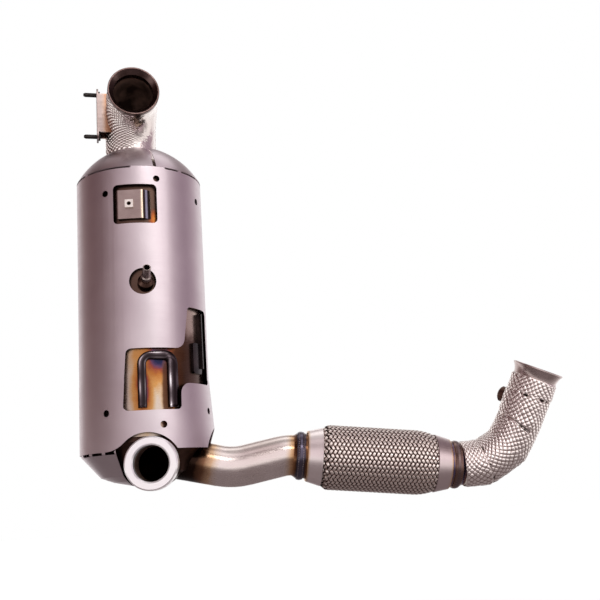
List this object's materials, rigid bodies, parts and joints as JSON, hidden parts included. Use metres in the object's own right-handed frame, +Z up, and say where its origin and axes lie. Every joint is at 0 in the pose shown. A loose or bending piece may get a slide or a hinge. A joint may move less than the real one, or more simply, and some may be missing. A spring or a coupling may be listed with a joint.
{
  "type": "diesel particulate filter",
  "caption": "Upright exhaust filter canister in a steel heat shield, with a lagged inlet elbow, a branch outlet, a braided flexible coupling and a lagged tail elbow.",
  "frame": {"origin": "centre of the inlet throat, where the conical seat ends and the bore starts", "axes": "+Z up along the canister, +X along the outlet run, -Y towards the viewer and the inlet mouth"},
  "size_m": [0.5458, 0.1709, 0.5002],
  "materials": {
    "shell_steel": "stainless sheet, heat tinted",
    "shield_steel": "drawn stainless sheet, satin with fine drawing marks",
    "pipe_steel": "stainless tube, satin, straw tinted beside the welds",
    "bracket_steel": "pressed steel, darkened by heat",
    "turned_steel": "turned stainless, bright",
    "foil": "embossed metal foil, bright",
    "fibre": "needled ceramic fibre",
    "brick": "extruded porous ceramic",
    "braid_wire": "woven stainless wire bands"
  },
  "bodies": {
    "canister": {"can_shell": "shell_steel", "inlet_cone": "shell_steel", "outlet_bowl": "shell_steel", "upper_spacer_band": "shell_steel", "lower_spacer_band": "shell_steel", "front_shield": "shield_steel", "rear_shield": "shield_steel", "top_shield_left": "shield_steel", "top_shield_right": "shield_steel", "bottom_shield_front": "shield_steel", "bottom_shield_rear": "shield_steel", "inlet_elbow": "pipe_steel", "branch_pipe": "pipe_steel", "outlet_pipe": "pipe_steel", "flex_front_collar": "pipe_steel", "flex_bellows": "pipe_steel", "flex_liner": "pipe_steel", "pressure_tube": "pipe_steel", "stud_bracket": "bracket_steel", "bracket_studs": "bracket_steel", "clip_bracket": "bracket_steel", "pressure_boss": "bracket_steel", "hanger_bracket": "bracket_steel", "side_bracket": "bracket_steel", "inlet_flange": "turned_steel", "branch_flange": "turned_steel", "clip_nut": "turned_steel", "neck_foil": "foil", "catalyst_mat": "fibre", "filter_mat": "fibre", "neck_blanket": "fibre", "catalyst_brick": "brick", "filter_brick": "brick", "flex_braid": "braid_wire"},
    "tail": {"flex_rear_collar": "pipe_steel", "tail_pipe": "pipe_steel", "tail_blanket": "fibre", "tail_foil_lower": "foil", "tail_foil_middle": "foil", "tail_foil_upper": "foil", "tail_flange": "turned_steel", "tail_sensor_boss": "bracket_steel"}
  },
  "joints": [
    {"name": "flex_bend", "type": "hinge", "parent": "canister", "child": "tail", "pos_m": [0.24903, 0.08332, -0.42869], "axis": [-0.0872, 0.9962, 0], "range_deg": [-8, 8], "stiffness_Nm_per_rad": 400, "deforming": ["flex_bellows", "flex_liner", "flex_braid"]}
  ]
}
